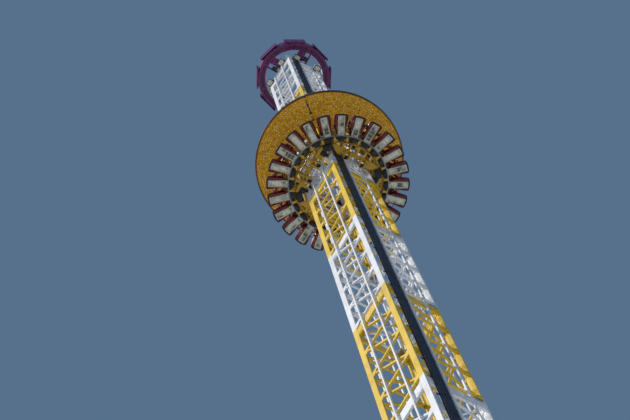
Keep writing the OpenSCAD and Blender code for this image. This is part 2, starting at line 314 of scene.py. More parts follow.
def hex_bolt(radius, height):
    """A washer and a six-sided head with a chamfered top, standing on Z = 0."""
    washer = lathe([(radius * 1.5, 0), (radius * 1.5, 0.35), (radius * 1.4, 0.5)], 10)
    rings = ((radius, 0.5), (radius, height * 0.8), (radius * 0.85, height))
    return joined(washer, stack([circle(r, z, 6) for r, z in rings]))


BOLT = hex_bolt(1.6, 1.6)
SMALL_BOLT = hex_bolt(1.1, 1.1)
BOLT_DOWN = moved(BOLT, FACE_DOWN)
SMALL_BOLT_DOWN = moved(SMALL_BOLT, FACE_DOWN)


def add_object(name, data):
    obj = bpy.data.objects.new(name, data)
    bpy.context.scene.collection.objects.link(obj)
    return obj


class Build:
    """Gathers forms in millimetres and turns them into one object."""

    def __init__(self):
        self.forms = []

    def add(self, form, *matrices):
        """Adds the form once, moved by the matrices from the last to the first."""
        matrix = IDENTITY
        for step in matrices:
            matrix = matrix @ step
        self.forms.append(moved(form, matrix))

    def grid(self, form, xs, ys, z, *matrices):
        """Adds the form at every pairing of xs and ys, at height z."""
        for x, y in product(xs, ys):
            self.add(form, *matrices, place(x, y, z))

    def spread(self, form, places):
        """Adds the form at each of the places."""
        for where in places:
            self.add(form, where)

    def make(self, name, body, slot, look=None, repeats=(IDENTITY,), sharp=35, rounds=0, instead_of=()):
        """Makes the object, with all its forms at each of the repeats' matrices."""
        drawn = joined(*self.forms)
        points, faces = joined(*(moved(drawn, matrix) for matrix in repeats))
        mesh = bpy.data.meshes.new(name)
        mesh.from_pydata(points * MM, [], faces)
        mesh.materials.append(LOOKS[look or slot])
        mesh.shade_smooth()
        if not rounds:
            mesh.set_sharp_from_angle(angle=math.radians(sharp))
        obj = add_object(name, mesh)
        if rounds:
            smooth = obj.modifiers.new("smooth", "SUBSURF")
            smooth.levels = rounds
            smooth.render_levels = rounds
        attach(obj, body)
        if instead_of:
            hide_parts(*instead_of)
        return obj


PIECES = []


def piece(*slots, **settings):
    """Marks a function that fills one object's Build and gives the object its name.

    slots are the body, the material slot and, where it isn't the slot's own, the look.
    settings are those of Build.make.
    """

    def keep(fill):
        PIECES.append((fill, fill.__name__, slots, settings))
        return fill

    return keep


def section_foot(n):
    return MAST_FOOT + n * SECTION_H


def striped(fill):
    """Marks a function that draws one mast section, from its first bar up, for an object of each colour."""
    for first, colour in enumerate(("white", "yellow")):
        sections = [place(z=section_foot(n) + FIRST_BAR) for n in range(first, SECTIONS, 2)]
        slots = ("tower", f"paint_{colour}")
        PIECES.append((fill, f"{fill.__name__}_{colour}", slots, {"repeats": sections}))
    return fill


def turns(count, start=0.0, x=0, z=0):
    """A matrix for each of count places round the mast, at height z and x outwards from its axis."""
    return [place(turn=start + 360 * k / count) @ place(x, 0, z) for k in range(count)]


FOUR = turns(4)
CROWN_SEAMS = turns(8, -2.5, z=CROWN_Z)
CROWN_RIBS = turns(24, 5, z=CROWN_Z)
SEAT_PLACES = turns(SEATS, SEAT_PHASE, SEAT_IN, SEAT_Z)


# Materials


class Look:
    """A node material, built step by step on one Principled shader."""

    def __init__(self, name, **sockets):
        self.material = bpy.data.materials.new(name)
        self.material.use_nodes = True
        self.tree = self.material.node_tree
        self.shader = self.tree.nodes["Principled BSDF"]
        for socket, value in sockets.items():
            self.shader.inputs[socket.replace("_", " ")].default_value = value
        self.place = self.tree.nodes.new("ShaderNodeTexCoord").outputs["Object"]

    def feed(self, socket, value):
        """Links an output to the socket, or sets a number, a vector or a colour on it."""
        if isinstance(value, bpy.types.NodeSocket):
            self.tree.links.new(value, socket)
        elif isinstance(value, tuple):
            socket.default_value = (*value, 1)[: len(socket.default_value)]
        else:
            socket.default_value = value

    def node(self, kind, sockets, **settings):
        """Adds a node. sockets are its inputs, by name or number."""
        node = self.tree.nodes.new("ShaderNode" + kind)
        for name, value in settings.items():
            setattr(node, name, value)
        for key, value in sockets.items():
            self.feed(node.inputs[key], value)
        return node

    def stretched(self, along):
        """The place, with its height scaled by along, so that patterns become streaks."""
        return self.node("Mapping", {"Scale": (1, 1, along), "Vector": self.place}).outputs["Vector"]

    def noise(self, scale, detail, rough=0.6, where=None):
        sockets = {"Scale": scale, "Detail": detail, "Roughness": rough, "Vector": where or self.place}
        return self.node("TexNoise", sockets).outputs["Fac"]

    def cells(self, scale):
        return self.node("TexVoronoi", {"Scale": scale, "Vector": self.place}).outputs["Color"]

    def ramp(self, source, *stops):
        """stops are (position, value), a value being a grey or a colour."""
        node = self.node("ValToRGB", {"Fac": source})
        while len(node.color_ramp.elements) < len(stops):
            node.color_ramp.elements.new(0.5)
        for element, (position, value) in zip(node.color_ramp.elements, stops):
            element.position = position
            element.color = (*value, 1) if isinstance(value, tuple) else (value, value, value, 1)
        return node.outputs["Color"]

    def patches(self, scale, detail, *stops, **settings):
        """Noise, with its values read off the stops."""
        return self.ramp(self.noise(scale, detail, **settings), *stops)

    def mix(self, factor, first, second, kind="MIX"):
        sockets = {0: factor, 6: first, 7: second}
        return self.node("Mix", sockets, data_type="RGBA", blend_type=kind).outputs[2]

    def total(self, first, second, share):
        """first plus a share of second."""
        return self.node("Math", {0: second, 1: share, 2: first}, operation="MULTIPLY_ADD").outputs[0]

    def colour(self, source):
        self.feed(self.shader.inputs["Base Color"], source)

    def roughness(self, source, *stops):
        self.feed(self.shader.inputs["Roughness"], self.ramp(source, *stops))

    def bump(self, height, distance, strength):
        sockets = {"Distance": distance, "Strength": strength, "Height": height}
        self.feed(self.shader.inputs["Normal"], self.node("Bump", sockets).outputs["Normal"])


def shade(colour, factor):
    return tuple(min(1.0, c * factor) for c in colour)


def paint(name, colour, grime=(0.16, 0.14, 0.12), dirt=0.35, gloss=0.3, coat=0.25, shine=0.5):
    """Enamel on steel: uneven coats, rain streaks, dust, small chips and orange peel."""
    look = Look(name, Coat_Weight=coat, Coat_Roughness=0.12, Specular_IOR_Level=shine)
    coats = look.patches(7, 3, (0.3, shade(colour, 0.88)), (0.7, shade(colour, 1.08)))
    streaks = look.patches(60, 5, (0.5, 0.0), (0.78, dirt), rough=0.7, where=look.stretched(0.06))
    dirty = look.mix(streaks, coats, grime)
    chips = look.patches(210, 6, (0.69, 0.0), (0.71, 0.8), rough=0.65)
    look.colour(look.mix(chips, dirty, (0.09, 0.075, 0.07)))
    look.roughness(look.noise(25, 5), (0.3, gloss), (0.75, gloss + 0.22))
    look.bump(look.total(look.noise(900, 2), chips, -1.5), 0.00012, 0.5)
    return look.material


def steel(name, colour, rough=0.42):
    """Galvanised steel: crystal spangle, stains and fine scratches."""
    look = Look(name, Metallic=0.75)
    spangle = look.mix(0.14, colour, look.cells(190), "OVERLAY")
    stains = look.patches(18, 5, (0.45, 1.0), (0.75, 0.62), rough=0.7)
    look.colour(look.mix(1.0, spangle, stains, "MULTIPLY"))
    scratches = look.noise(300, 4, where=look.stretched(0.08))
    look.roughness(scratches, (0.3, rough - 0.12), (0.7, rough + 0.15))
    look.bump(scratches, 0.00008, 0.4)
    return look.material


def rubber(name, colour):
    """Black rubber or foam: dusty, with a fine grain."""
    look = Look(name)
    dust = look.patches(40, 5, (0.45, 0.0), (0.8, 0.35), rough=0.7)
    look.colour(look.mix(dust, colour, (0.16, 0.15, 0.14)))
    look.roughness(look.noise(70, 3), (0.3, 0.55), (0.7, 0.85))
    look.bump(look.noise(1400, 3), 0.00015, 0.6)
    return look.material


def moulded(name, colour, rough=0.24, coat=0.5):
    """Glossy moulded plastic with faint flow marks, scuffs and a fine texture."""
    look = Look(name, Coat_Weight=coat, Coat_Roughness=0.08)
    flow = look.patches(12, 3, (0.3, shade(colour, 0.75)), (0.7, shade(colour, 1.25)))
    scuffs = look.patches(160, 6, (0.62, 0.0), (0.72, 0.3), rough=0.75, where=look.stretched(0.3))
    look.colour(look.mix(scuffs, flow, shade(colour, 2.2)))
    look.roughness(look.noise(45, 4), (0.3, rough), (0.7, rough + 0.2))
    look.bump(look.total(look.noise(1100, 2), scuffs, 0.4), 0.0001, 0.35)
    return look.material


def plate_plastic(name, colour):
    """The pale plates under the seats: greyed by shoes and weather, in patches."""
    look = Look(name, Coat_Weight=0.15, Coat_Roughness=0.3)
    stops = ((0.34, shade(colour, 0.3)), (0.46, shade(colour, 0.8)), (0.62, colour))
    greyed = look.patches(55, 6, *stops, rough=0.7)
    tint = look.patches(24, 3, (0.4, 0.0), (0.7, 0.3))
    tinted = look.mix(tint, greyed, (0.42, 0.5, 0.42))
    marks = look.patches(260, 6, (0.6, 0.0), (0.7, 0.6), rough=0.7)
    look.colour(look.mix(marks, tinted, (0.12, 0.12, 0.1)))
    look.roughness(look.noise(60, 4), (0.3, 0.35), (0.7, 0.6))
    look.bump(look.noise(700, 4), 0.00012, 0.5)
    return look.material


def recess_shade_sheet(name, colour):
    """Pale sheet with dark greenish patches and bare streaks: the dark mottled patches are painted shade
    for the seat plates' recesses.
    """
    look = Look(name, Coat_Weight=0.2, Coat_Roughness=0.25)
    # The dark greenish stops are painted shade of a recess, in mottled patches
    stops = ((0.4, (0.07, 0.085, 0.06)), (0.48, (0.38, 0.45, 0.34)), (0.57, colour))
    shade_blotches = look.patches(24, 1.5, *stops)
    streaks = look.patches(110, 5, (0.45, 0.0), (0.8, 0.5), rough=0.7)
    look.colour(look.mix(streaks, shade_blotches, (0.14, 0.13, 0.09)))
    look.roughness(look.noise(60, 4), (0.3, 0.3), (0.7, 0.6))
    look.bump(look.noise(500, 4), 0.00012, 0.5)
    return look.material


def bulb_glass(name, colour):
    """Small lamps, some of them dull and some bright."""
    look = Look(name, Coat_Weight=0.6, Coat_Roughness=0.05)
    stops = ((0.42, shade(colour, 0.15)), (0.5, shade(colour, 0.8)), (0.57, shade(colour, 1.2)))
    look.colour(look.patches(75, 2, *stops))
    look.roughness(look.noise(200, 2), (0.3, 0.08), (0.7, 0.2))
    return look.material


def pale_floor(name):
    look = Look(name)
    look.colour(look.patches(2, 4, (0.3, (0.66, 0.66, 0.65)), (0.7, (0.72, 0.72, 0.71))))
    look.roughness(look.noise(5, 4), (0.3, 0.6), (0.7, 0.75))
    look.bump(look.noise(40, 5), 0.0006, 0.3)
    return look.material


COLOURS = {m["slot"]: tuple(m["base_color"][:3]) for m in frame["record"]["materials"]}
LOOKS = {}


def add_look(kind, name, colour=None, **settings):
    """Makes one look, in the colour that the record gives its slot unless another is named."""
    LOOKS[name] = kind(name, colour or COLOURS[name], **settings)


def add_looks():
    add_look(paint, "paint_white", dirt=0.3)
    add_look(paint, "paint_yellow", (0.8, 0.54, 0.014), grime=(0.22, 0.11, 0.02), dirt=0.45, coat=0.1)
    add_look(paint, "paint_gold", grime=(0.07, 0.04, 0.02), dirt=0.5)
    add_look(paint, "paint_purple", (0.12, 0.005, 0.11), grime=(0.2, 0.05, 0.17), dirt=0.4, coat=0.12)
    add_look(paint, "paint_cream", dirt=0.4, gloss=0.4)
    add_look(paint, "duct_navy", grime=(0.04, 0.055, 0.08), dirt=0.4, gloss=0.5, coat=0.05)
    add_look(paint, "paint_charcoal", grime=(0.14, 0.12, 0.1), gloss=0.42)
    add_look(steel, "steel_grey")
    add_look(rubber, "roller_black")
    add_look(moulded, "seat_red", shade(COLOURS["seat_red"], 0.8), rough=0.3, coat=0.15)
    add_look(moulded, "cushion_red", (0.2, 0.006, 0.01), rough=0.36)
    add_look(plate_plastic, "seat_white")
    add_look(rubber, "restraint_black")
    gilt = {"grime": (0.85, 0.62, 0.2), "gloss": 0.45, "coat": 0.03, "shine": 0.15}
    add_look(paint, "canopy_gold", (0.8, 0.4, 0.004), **gilt)
    add_look(paint, "canopy_rim_red", gloss=0.36)
    add_look(paint, "bar_black", (0.02, 0.02, 0.024), grime=(0.12, 0.11, 0.1))
    add_look(paint, "link_red", (0.42, 0.012, 0.02), grime=(0.12, 0.03, 0.03))
    add_look(bulb_glass, "bulb", (0.95, 0.78, 0.4))
    # The sheets in the seat plates' recesses: their dark mottling is painted shade
    add_look(recess_shade_sheet, "plate_worn", (0.72, 0.72, 0.62))
    # A near-black plum, painted shade for the strips under the crown ring
    add_look(paint, "plum_dark", (0.05, 0.003, 0.042), grime=(0.1, 0.03, 0.09), gloss=0.45, coat=0.04)
    add_look(steel, "bolt_zinc", (0.5, 0.49, 0.46), rough=0.32)


def dress_frame():
    """Gives each CAD node the look of its slot."""
    for part in frame["record"]["subparts"]:
        node = frame["nodes"][part["node"]]
        node.data.materials.clear()
        node.data.materials.append(LOOKS[part["material_slot"]])


# The tower. A face's own drawing has x across it, y up the mast and z outwards from the mast's axis

STANDING = place(roll=90)
FACES = [turn @ STANDING for turn in FOUR]
# How far the columns' inner edges are from each face's middle
EDGES = [HALF - size for size in (COLUMN_T, COLUMN_W, COLUMN_T, COLUMN_W)]


@striped
def mast_gussets(build):
    """Plates welded between columns, cross bars and slopes."""
    outline = [(0, -7), (0, 19), (-5, 21), (-21, 7), (-21, -4), (-17, -7)]
    plate = slab(outline, 0, 1.4, 0.3)
    for k, (face, edge), (side, turn) in product(range(BAYS), zip(FACES, EDGES), ((1, 0), (-1, 180))):
        build.add(plate, face, place(side * edge, k * BAY_H, HALF - 1.5, turn))


@striped
def joint_plates(build):
    """Bolted end plates of the heavy beams under the section joints."""
    plate = slab(rounded(13, 17, 3, 2), 0, 1.6, 0.4)
    for (face, edge), side in product(zip(FACES, EDGES), SIDES):
        centre = face @ place(side * (edge - 15), BAYS * BAY_H, HALF - 1.4)
        build.add(plate, centre)
        build.grid(SMALL_BOLT, (-8, 8), (-11, 0, 11), 1.6, centre)


@piece("tower", "steel_grey", "bolt_zinc", repeats=CORNERS)
def mast_flanges(build):
    """Bolted flanges inside the corners, where two sections meet."""
    thick = 5
    flange = block((-30, -24, -thick), (0, 0, thick), 0.8)
    rib = prism([(-22, 0), (0, 0), (0, 24)], -1.2, 1.2)
    for n in range(1, SECTIONS):
        joint = place(HALF - COLUMN_T, HALF - 1.5, section_foot(n))
        build.add(flange, joint)
        build.add(rib, joint, place(0, -4, thick, roll=90))
        build.add(rib, joint, place(0, -20, thick, roll=90))
        build.grid(BOLT, (-8, -22), (-12,), thick, joint)
        build.grid(BOLT_DOWN, (-8, -22), (-12,), -thick, joint)


@striped
def plan_bracing(build):
    """Rods across the mast's inside at each heavy beam, at two heights, with a disc between them."""
    middle = BAYS * BAY_H
    reach = HALF - 9
    for side in SIDES:
        z = middle + 3 * side
        build.add(rod((side * reach, -reach, z), (-side * reach, reach, z), 2.6, 10))
    build.add(lathe([(9, -1.5), (10, -1), (10, 1), (9, 1.5)], 16), place(z=middle))


@piece("tower", "paint_white", repeats=FACES)
def rail_clips(build):
    """Clip plates and bolts that hold the guide rails at every bar, and splices in the rails."""
    clip = slab(rounded(10.5, 4.6, 1.5, 2), 0, 1.4, 0.3)
    splice = block((-3.6, -16, -6.6), (3.6, 16, -1.2), 0.4)
    for side, n in product(SIDES, range(SECTIONS)):
        rail = place(side * RAIL_AT, section_foot(n))
        for k in range(BAYS + 1):
            centre = rail @ place(0, FIRST_BAR + k * BAY_H, HALF - 1.2)
            build.add(clip, centre)
            build.grid(SMALL_BOLT, (-7, 7), (0,), 1.4, centre)
        if n:
            build.add(splice, rail, place(z=RAIL_OUT))


DUCT_STEP = SECTION_H / 3
DUCT_PLACES = [place(0, 0, MAST_FOOT + DUCT_STEP * (k + 0.5), roll=90) for k in range(3 * SECTIONS)]


@piece("tower", "duct_navy", repeats=DUCT_PLACES)
def duct_straps(build):
    """Straps, cover joints and screws on the cable duct."""
    low, high = low_high("cable_duct")
    left, right, out = low[0], high[0], -low[1]
    build.add(block((left - 0.8, -4, HALF - 1), (right + 0.8, 4, out + 0.9), 0.4))
    build.add(slab(rounded(4.5, 4, 1, 2), 0, 1.5, 0.3), place(left - 4.5, 0, HALF - 1.2))
    build.add(SMALL_BOLT, place(left - 5, 0, HALF + 0.3))
    joint = block((left - 0.3, -0.9, out - 2), (right + 0.3, 0.9, out + 0.4), 0.2)
    build.add(joint, place(y=DUCT_STEP / 2 - 1))
    build.grid(SMALL_BOLT, (left + 3.5, right - 3.5), (20, 80, 140, 200), out - 0.3)


# The head and the crown


def sheave_places():
    """A matrix for each sheave box: x outwards, y across, z up, from the foot of the box at the mast."""
    faces = ((270, 1), (0, -1), (90, 1), (180, -1))
    spots = product(faces, SHEAVES_AT)
    return [place(turn=turn) @ place(HALF, side * y, SHEAVE_Z) for (turn, side), y in spots]


@piece("tower", "paint_cream", repeats=sheave_places())
def sheave_covers(build):
    """Bolted side plates on the sheave boxes, each with the boss of its axle."""
    axle_z = SHEAVE_TOP - SHEAVE_Z - SHEAVE_R
    rim = SHEAVE_R + 0.4
    outline = [(1, -1), (SHEAVE_R + rim, -1)]
    outline += [(SHEAVE_R + x, axle_z + y) for x, y, _ in circle(rim, 0, 24)[:7]]
    outline += [(1, axle_z + rim)]
    boss = lathe([(5.5, 0), (5.5, 1.6), (4.6, 2.4), (2.2, 2.4), (2.2, 3.2)], 20)
    for side in SIDES:
        stand = place(0, side * SHEAVE_W / 2, 0, roll=90) @ hand(z=-side)
        build.add(slab(outline, 0, 1.2, 0.3), stand)
        build.add(boss, stand, place(SHEAVE_R, axle_z))
        for x, y in ((4, 2), (24, 2), (4, 26), (14, 27.5), (25, 14)):
            build.add(SMALL_BOLT, stand, place(x, y, 1))


@piece("tower", "paint_white")
def head_bolts(build):
    """Gussets under the head's beams, bolts through its top plates and the cap on its middle."""
    gusset = prism([(20, 0), (0, -20), (0, 0)], -1.5, 1.5)
    for face, side in product(FACES, SIDES):
        build.add(gusset, face, place(side * (HALF - 24), HEAD_TOP - 33, HALF - 6), hand(-side))
    for turn in FOUR:
        build.grid(BOLT, (HALF - 8,), (-84, -52, -20, 20, 52, 84), HEAD_TOP, turn)
        build.grid(BOLT, (30, 60), (-6, 6), HEAD_TOP, turn)
    build.add(slab(rounded(16, 16, 3), 0, 3, 0.5), place(z=HEAD_TOP))


@piece("tower", "paint_purple")
def crown_ribs(build):
    """Lips, cross ribs and seams of the ring's channel, with the bolts of its seams."""
    for radius in (CROWN_IN, CROWN_R - CROWN_WALL):
        build.add(hoop(radius - 0.6, radius + CROWN_WALL + 0.6, CROWN_TOP - 4, CROWN_TOP + 0.8))
    inner, outer = CROWN_IN + CROWN_WALL - 0.5, CROWN_R - CROWN_WALL + 0.5
    build.spread(block((inner, -1.5, CROWN_WALL), (outer, 1.5, 40), 0.4), CROWN_RIBS)
    build.spread(block((CROWN_IN - 0.8, -5, -1.2), (CROWN_R + 0.8, 5, 3), 0.4), CROWN_SEAMS)
    for seam in CROWN_SEAMS:
        build.grid(SMALL_BOLT_DOWN, (CROWN_IN + 8, CROWN_R - 8), (-3, 3), -1.2, seam)


# Painted shade: dark plum strips under the crown ring
@piece("tower", "paint_purple", "plum_dark", repeats=CROWN_SEAMS)
def crown_shade_strips(build):
    """Thin dark strips on the ring's underside, between its cross seams: painted shade, sheets of dark plum
    where the underside is shaded.
    """
    low, high = -0.9, 0.3
    r_in, r_out = CROWN_IN + 10, CROWN_R - 13
    rings = []
    for angle in np.radians(np.linspace(2.6, 42.4, 15)):
        section = ((r_in, low), (r_out, low), (r_out, high), (r_in, high))
        rings.append([(r * math.cos(angle), r * math.sin(angle), z) for r, z in section])
    build.add(stack(rings))


@piece("tower", "paint_white")
def crown_liner(build):
    """The pale sheet round the inner face of the ring, with its cover strips."""
    build.add(hoop(CROWN_IN - 1.4, CROWN_IN + 0.3, 3, 60), place(z=CROWN_Z))
    build.spread(block((CROWN_IN - 2.6, -3, 4), (CROWN_IN - 1, 3, 59), 0.4), CROWN_RIBS)


@piece("tower", "roller_black", repeats=turns(4, z=HEAD_TOP))
def spoke_gear(build):
    """Black blocks that hang between each pair of spokes, beside the head frame."""
    build.add(block((112, -11, -22), (138, 8, -6), 2))
    build.add(rod((116, -16, -14), (116, 13, -14), 5.5, 16, 1))
    build.add(rod((131, -14, -16), (131, 11, -16), 4, 12, 1))


@piece("tower", "paint_purple", repeats=turns(PANELS, PANEL_PHASE, CROWN_R + 2, PANEL_Z))
def panel_frames(build):
    """Turned edges, stiffeners and screws of the sign panels."""
    half, tall = PANEL_W / 2, PANEL_H / 2
    back, front = -2.4, 5.6
    for side in SIDES:
        build.add(block((back, -1.2, -tall), (front, 1.2, tall), 0.4), place(y=side * (half - 1.2)))
        build.add(block((back, -half, -1.2), (front, half, 1.2), 0.4), place(z=side * (tall - 1.2)))
        build.add(block((-1.6, -4, -tall), (0.4, 4, tall), 0.4), place(y=side * 44))
        for y in (-50, -25, 0, 25, 50):
            build.add(SMALL_BOLT, place(5, y, side * (tall - 5.5), tilt=90))


@piece("tower", "roller_black", "bar_black", repeats=sheave_places())
def sheave_rims(build):
    """Dark angle frames round the undersides of the sheave boxes, and the arms that carry them."""
    half = SHEAVE_W / 2
    deep = 2 * SHEAVE_R
    build.add(block((deep - 1.4, -half - 2, -1.6), (deep + 1.6, half + 2, 3), 0.4))
    build.add(block((-1, -half - 2, -1.6), (1.6, half + 2, 3), 0.4))
    build.add(rod((6, -half - 5, 6), (6, half + 5, 6), 2.2))
    for side in SIDES:
        build.add(block((0, -1.6, -1.6), (deep + 1, 1.6, 3), 0.4), place(y=side * (half + 0.8)))
        build.add(block((-4, -2.4, 3), (8, 2.4, 9)), place(y=side * (half + 3)))


# The base


@piece("tower", "steel_grey", "bolt_zinc", repeats=FOUR)
def base_bolts(build):
    """Anchor bolts round the base plate, bolts of the pedestal's cap and of the beams' ends."""
    build.grid(hex_bolt(5, 7), (PLATE_HALF - 14,), (-150, -100, -50, 50, 100, 150), PLATE_TOP)
    build.grid(hex_bolt(3, 3), (PEDESTAL_HALF - 7,), (-104, -70, -35, 35, 70, 104), MAST_FOOT)
    build.grid(hex_bolt(2.6, 2.6), (-14, -38), (-12, 12), 0, place(REACH + 4, 0, PLATE_TOP, tilt=90))


@piece("tower", "paint_yellow", repeats=FOUR)
def beam_ends(build):
    """End plates of the outriggers, and the diaphragms between their gussets."""
    build.add(slab(rounded(25, 20, 3), 0, 4, 0.8), place(REACH, 0, PLATE_TOP + 26, tilt=90))
    for out, tall in ((60, 62), (120, 32)):
        build.add(block((-2, -13, 0), (2, 13, tall)), place(PEDESTAL_HALF + out, 0, OUTRIGGER_TOP))


@piece("tower", "paint_white", repeats=turns(4, z=PLATE_TOP))
def pedestal_ribs(build):
    """Stiffeners and weld seams round the pedestal, with its cap's rim."""
    half, tall = PEDESTAL_HALF, PEDESTAL_H
    fin = prism([(0, 0), (36, 0), (30, 12), (6, tall - 4), (0, tall - 4)], -3, 3)
    for y in (-80, 80):
        build.add(fin, place(half, y, roll=90))
    build.add(sweep([(half, -half, 0), (half, -half, tall)], 1.6, 8))
    build.add(sweep([(half, -half, 0.4), (half, half, 0.4)], 2, 8))
    rim = block((half - 1, -half - 3, -11), (half + 3, half + 3, -1), 1)
    build.add(rim, place(z=MAST_FOOT - PLATE_TOP))


@piece("tower", "steel_grey", repeats=turns(4, 0, FOOT_AT, OUTRIGGER_TOP))
def foot_spindles(build):
    """Threaded spindles with nuts and hand bars at the outriggers' ends, and the rims of their feet."""
    build.add(stack([circle(17, 0, 6), circle(17, 11, 6), circle(15, 12, 6)]))
    build.add(lathe([(9.2 if k % 2 else 10.6, 1.6 * k) for k in range(16)], 20), place(z=10))
    build.add(rod((-22, 0, 30), (22, 0, 30), 2.6, 12, 0.6))
    build.add(lathe([(38, 0), (39.6, 0.6), (39.6, 3), (38, 4)], 48), place(z=0.3 - OUTRIGGER_TOP))


# The carriage

RAIL_WHEEL_AT = HALF + 20.6
RAIL_WHEEL_R = 9
RAIL_WHEELS_Z = (LOWER_Z - 12, UPPER_TOP + 12)
CORNER_WHEEL_AT = HALF + 14.6
CORNER_WHEEL_R = 14
CORNER_WHEEL_Y = 87
WHEEL_W = 12


def wheel_places():
    """Each wheel's matrix and radius, its axle along Z."""
    places = []
    for turn, side, z in product(FOUR, SIDES, RAIL_WHEELS_Z):
        places.append((turn @ place(RAIL_WHEEL_AT, side * RAIL_AT, z, roll=90), RAIL_WHEEL_R))
    for x, y, z in product(SIDES, SIDES, (LOWER_Z + 8, UPPER_Z + 8)):
        places.append((place(x * CORNER_WHEEL_AT, y * CORNER_WHEEL_Y, z, roll=90), CORNER_WHEEL_R))
    return places


def mirror_profile(radius, *shares):
    """A wheel's lathe profile from shares of its radius and of half its width, the same on both sides."""
    upper = [(radius * across, WHEEL_W / 2 * up) for across, up in shares]
    return [(r, -z) for r, z in upper[::-1]] + upper


@piece("carriage", "roller_black", sharp=50, instead_of=("carriage_rollers",))
def wheel_tyres(build):
    """Tyres with round shoulders."""
    for where, radius in wheel_places():
        tread = mirror_profile(radius, (1, 0.45), (0.96, 0.8), (0.86, 1), (0.62, 0.8))
        build.add(lathe(tread, 28, True), where)


@piece("carriage", "steel_grey")
def wheel_hubs(build):
    """Dished hubs with their axles' ends and a ring of nuts on each side."""
    shares = ((0.64, 0.62), (0.5, 0.5), (0.3, 0.55), (0.28, 0.95), (0.2, 1), (0.18, 1.3))
    for where, radius in wheel_places():
        build.add(lathe(mirror_profile(radius, *shares), 24), where)
        for x, y, z in circle(radius * 0.4, WHEEL_W / 4, 5):
            build.add(SMALL_BOLT, where, place(x, y, z))
            build.add(SMALL_BOLT_DOWN, where, place(x, y, -z))


@piece("carriage", "paint_gold", repeats=FOUR)
def bracket_lobes(build):
    """Round cheeks on the ears that hold the rail wheels, with the axles' ends."""
    cheek = slab(rounded(13, 13, 11.5, 6), 0, 2.6, 0.6)
    axle_end = lathe([(4.6, 2.4), (4.6, 3.6), (3.4, 4.4), (1.6, 4.4), (1.6, 5.4)], 16)
    bolt_angle = math.radians(40)
    bolt_x, bolt_y = 9 * math.cos(bolt_angle), 9 * math.sin(bolt_angle)
    for side, z, way in product(SIDES, RAIL_WHEELS_Z, SIDES):
        spot = place(RAIL_WHEEL_AT + 9, side * RAIL_AT + way * 12, z, roll=-90 * way)
        build.add(cheek, spot)
        build.add(axle_end, spot, place(-9))
        build.grid(SMALL_BOLT, (-bolt_x, bolt_x), (-bolt_y, bolt_y), 2.6, spot)


@piece("carriage", "roller_black", repeats=CORNERS)
def corner_gear(build):
    """Black spring housings under and over the frames' corners, with bellows to the corner wheels."""
    button = lathe([(4, -17), (5, -16.5), (5, -13), (4, -12.5)], 16)
    cup = lathe([(6, 0), (7, 1), (7, 9), (6, 10)], 20)
    for z in (LOWER_Z, UPPER_Z):
        housing = place(120, 120, z, turn=45)
        build.add(slab(rounded(13, 21, 4), -14, 0.5, 1.5), housing)
        build.add(slab(rounded(13, 21, 4), 15.5, 24, 1.5), housing)
        build.add(slab(rounded(8, 13, 3), -19, -13, 1.2), housing)
        build.grid(button, (0,), (-15, 15), 0, housing)
        arm = place(124, 90, z)
        build.add(slab(rounded(13, 11, 3), -8, 0.5, 1.2), arm)
        build.add(cup, arm, place(z=-17))
        for k in range(3):
            build.add(bead(8.2, 3 * k - 15.5, 1.2, 6, 20), arm)


@piece("carriage", "paint_gold", repeats=FOUR)
def frame_braces(build):
    """Slanted tubes between the two frames and straight arms out to the races."""
    x, y, tube_at = FRAME_MIDDLE, 36, UPRIGHT_AT - 6
    middle = (LOWER_TOP + UPPER_Z) / 2
    arm_start = FRAME_OUT - 2
    arm_end = math.sqrt((RACE_IN + 4) ** 2 - y**2)
    arm = block((0, -3.5, 1), (arm_end - arm_start, 3.5, 13), 0.8)
    foot = block((0, -7, 0.6), (5, 7, 15.4), 0.6)
    build.add(rod((x, -tube_at, middle), (x, tube_at, middle), 3.6))
    for side, (z, up) in product(SIDES, ((LOWER_TOP, 46), (UPPER_Z, -46))):
        build.add(rod((x, side * tube_at, z + up), (x, side * (tube_at - 42), z), 3.4))
    for form, z in product((arm, foot), (LOWER_Z, UPPER_Z)):
        build.grid(form, (arm_start,), (-y, y), z)


@piece("carriage", "paint_gold", repeats=[*CORNERS, *(corner @ SWAP_XY for corner in CORNERS)])
def frame_ends(build):
    """Wide bolted plates at the ends of the frames' straight bars."""
    thick = 2.4
    outline = [(116, 58), (148.6, 58), (148.6, 103), (141, 111), (130, 100), (116, 76)]
    for z, way in ((LOWER_Z, -1), (UPPER_TOP, 1)):
        level = place(z=z) @ hand(z=way)
        build.add(slab(outline, 0, thick, 0.5), level)
        for x, y in ((122, 64), (143, 64), (143, 82), (143, 100), (131, 92), (122, 78)):
            build.add(SMALL_BOLT, level, place(x, y, thick))


@piece("carriage", "paint_gold", repeats=FOUR)
def frame_plates(build):
    """Bolted cover plates on the carriage's frames, and collars where the uprights stand."""
    cover = slab(rounded(7, 13, 2), 0, 1.6, 0.4)
    collar = slab(rounded(7.6, 10, 2), 0, 3, 0.6)
    for outside, inside, facing in ((LOWER_Z, UPPER_Z, FACE_DOWN), (UPPER_TOP, LOWER_TOP, IDENTITY)):
        for y in (-UPRIGHT_AT, 0, UPRIGHT_AT):
            spot = place(FRAME_MIDDLE, y, outside) @ facing
            build.add(cover, spot)
            build.grid(SMALL_BOLT, (-4, 4), (-9, 9), 1.6, spot)
        for y in (-UPRIGHT_AT, UPRIGHT_AT):
            build.add(collar, place(FRAME_MIDDLE, y, inside), facing)


@piece("carriage", "paint_gold", "bolt_zinc")
def race_bolts(build):
    """Lips and bolts of the fixed rings."""
    for z, lip, bolt in ((LOWER_TOP, 9, 5), (UPPER_Z, -11, -5)):
        build.add(hoop(RACE_IN - 0.6, RACE_IN + 1.4, z + lip, z + lip + 2))
        build.spread(moved(SMALL_BOLT, place(tilt=-90)), turns(RACE_BOLTS, 5, RACE_IN, z + bolt))


# The gondola. A seat's drawing has u outwards from its inner end, v across and w up from its plate

RING_FOOT = place(z=SEAT_Z)


